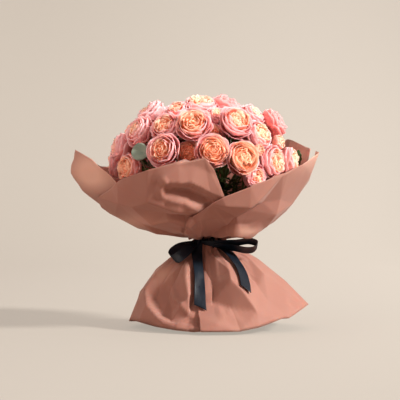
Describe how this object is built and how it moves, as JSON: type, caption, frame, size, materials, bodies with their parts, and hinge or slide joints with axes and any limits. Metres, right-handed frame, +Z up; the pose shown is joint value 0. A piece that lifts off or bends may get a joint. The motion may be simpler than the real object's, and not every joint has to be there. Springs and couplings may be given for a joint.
{
  "type": "bunch of roses",
  "caption": "Round hand-tied bunch of pink garden roses in a folded paper wrap with a wide collar and a flared skirt, tied at the waist with a satin ribbon bow.",
  "frame": {"origin": "centre of the middle stem's level cut end, on the surface that the bunch stands on", "axes": "+Z up along the bunch's axis, -Y towards the front with the bow, +X to the right seen from the front"},
  "size_m": [0.5366, 0.4617, 0.5136],
  "materials": {
    "petals": "soft matte petals, pink with apricot centres",
    "stems_and_leaves": "green, satin",
    "eucalyptus": "grey-green, waxy",
    "wrap_paper": "matte uncoated paper",
    "ribbon_satin": "satin",
    "twine": "matte fibre"
  },
  "bodies": {
    "root": {"rose_crown_front": "petals", "rose_crown_right": "petals", "rose_crown_left": "petals", "rose_crown_low": "petals", "rose_shoulder_left": "petals", "rose_shoulder_far_left": "petals", "rose_shoulder_right": "petals", "rose_upper_middle": "petals", "rose_upper_right": "petals", "rose_upper_left": "petals", "rose_between_upper": "petals", "rose_side_left": "petals", "rose_side_right": "petals", "rose_far_right_high": "petals", "rose_lower_left": "petals", "rose_lower_middle": "petals", "rose_lower_right": "petals", "rose_between_lower": "petals", "rose_rim_far_left": "petals", "rose_rim_left": "petals", "rose_rim_right": "petals", "rose_rim_far_right": "petals", "rose_rim_front_right": "petals", "rose_edge_left": "petals", "rose_bud_right": "petals", "rose_bud_middle": "petals", "rose_back_1_1": "petals", "rose_back_1_2": "petals", "rose_back_1_3": "petals", "rose_back_1_4": "petals", "rose_back_1_5": "petals", "rose_back_1_6": "petals", "rose_back_1_7": "petals", "rose_back_2_1": "petals", "rose_back_2_2": "petals", "rose_back_2_3": "petals", "rose_back_2_4": "petals", "rose_back_2_5": "petals", "rose_back_2_6": "petals", "rose_back_3_1": "petals", "rose_back_3_2": "petals", "rose_back_3_3": "petals", "rose_back_3_4": "petals", "spray_01": "stems_and_leaves", "spray_02": "stems_and_leaves", "spray_03": "stems_and_leaves", "spray_04": "stems_and_leaves", "spray_05": "stems_and_leaves", "spray_06": "stems_and_leaves", "spray_07": "stems_and_leaves", "spray_08": "stems_and_leaves", "spray_09": "stems_and_leaves", "spray_10": "stems_and_leaves", "spray_11": "stems_and_leaves", "eucalyptus_sprig": "eucalyptus", "binding_twine": "twine", "wrap_back_sheet": "wrap_paper", "wrap_left_sheet": "wrap_paper", "wrap_right_sheet": "wrap_paper", "ribbon_bow": "ribbon_satin"}
  },
  "joints": []
}
